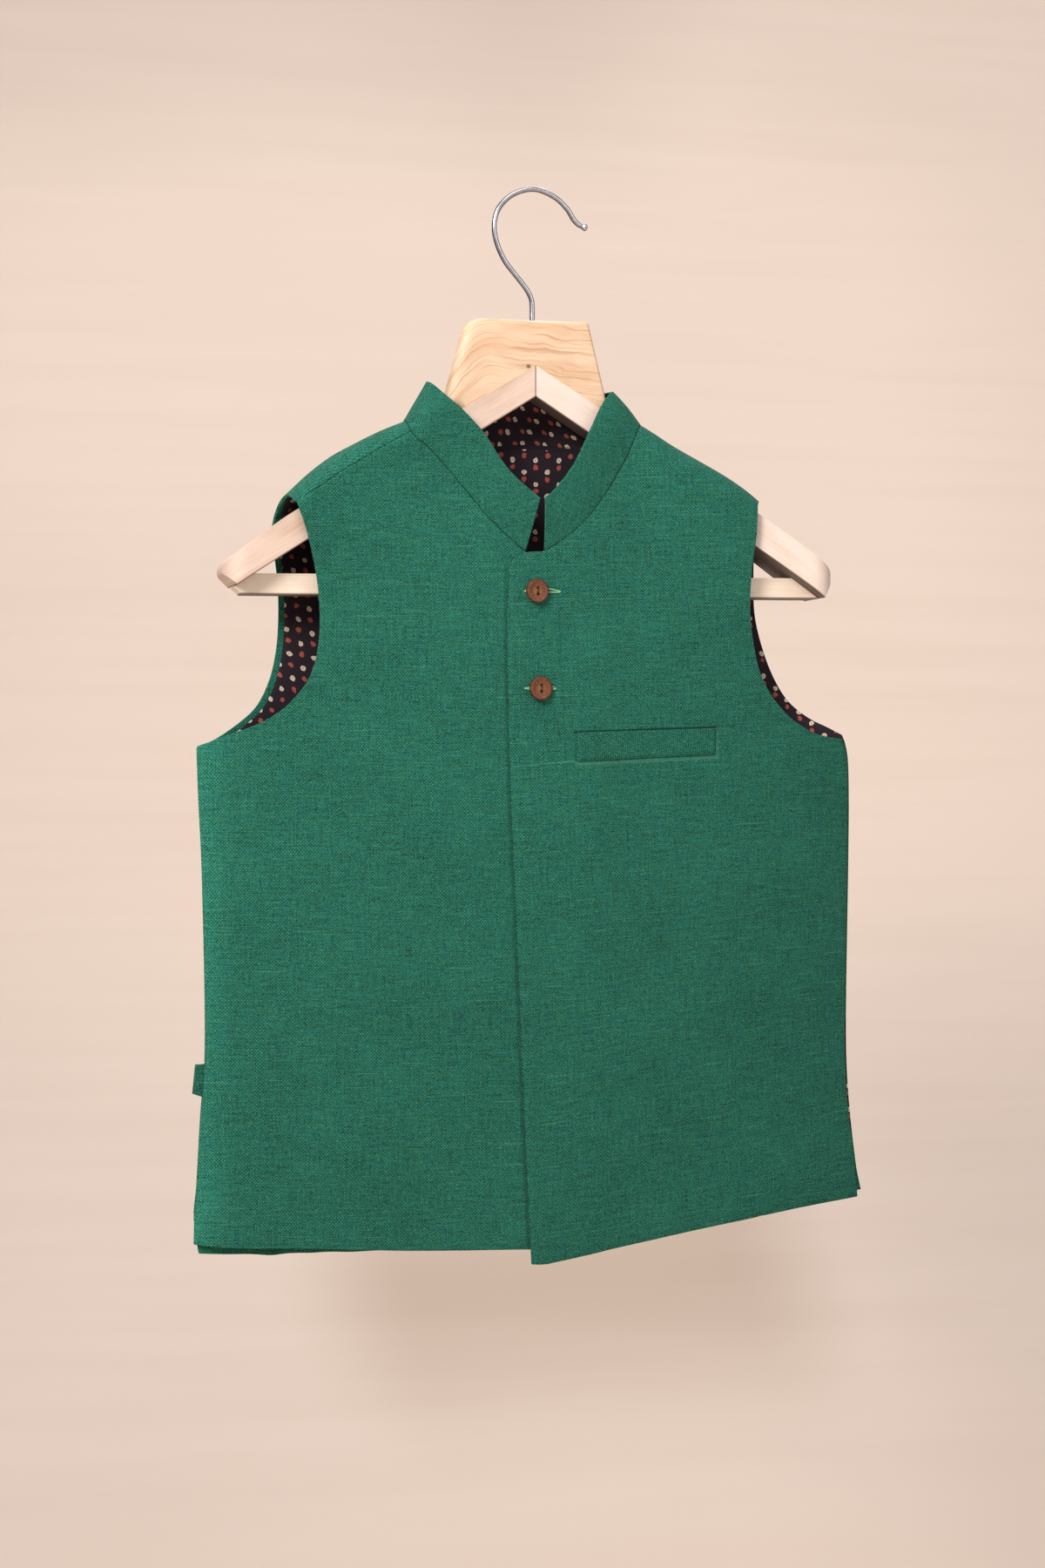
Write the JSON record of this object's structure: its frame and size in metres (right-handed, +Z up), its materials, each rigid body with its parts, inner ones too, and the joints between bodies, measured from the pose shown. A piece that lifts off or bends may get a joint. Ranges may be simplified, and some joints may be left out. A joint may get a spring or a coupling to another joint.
{
  "type": "sleeveless jacket on a wooden hanger",
  "caption": "Child's green handloom cotton sleeveless jacket with a stand collar, dotted dark lining, welt pocket and button front, on a wooden hanger with a wire hook",
  "frame": {"origin": "the inside of the top of the hook's arc, where the hanger hangs from its rail", "axes": "+Z is up the hook, -Y is the jacket's front, +X is to the right seen from the front"},
  "size_m": [0.3961, 0.0482, 0.6159],
  "materials": {
    "green_cloth": "matte plain weave cotton",
    "dotted_lining": "matte printed cotton",
    "pale_wood": "sanded, unvarnished",
    "pine": "satin",
    "coconut_shell": "turned and polished shell",
    "steel": "drawn wire"
  },
  "bodies": {
    "root": {"back": "green_cloth", "back_lining": "dotted_lining", "collar": "green_cloth", "front_left": "green_cloth", "front_right": "green_cloth", "pocket_welt": "green_cloth", "side_tab": "green_cloth", "button_upper": "coconut_shell", "button_lower": "coconut_shell", "hanger_arm_left": "pale_wood", "hanger_arm_right": "pale_wood", "hanger_bar": "pale_wood", "hanger_block": "pine", "hanger_hook": "steel"}
  },
  "joints": []
}
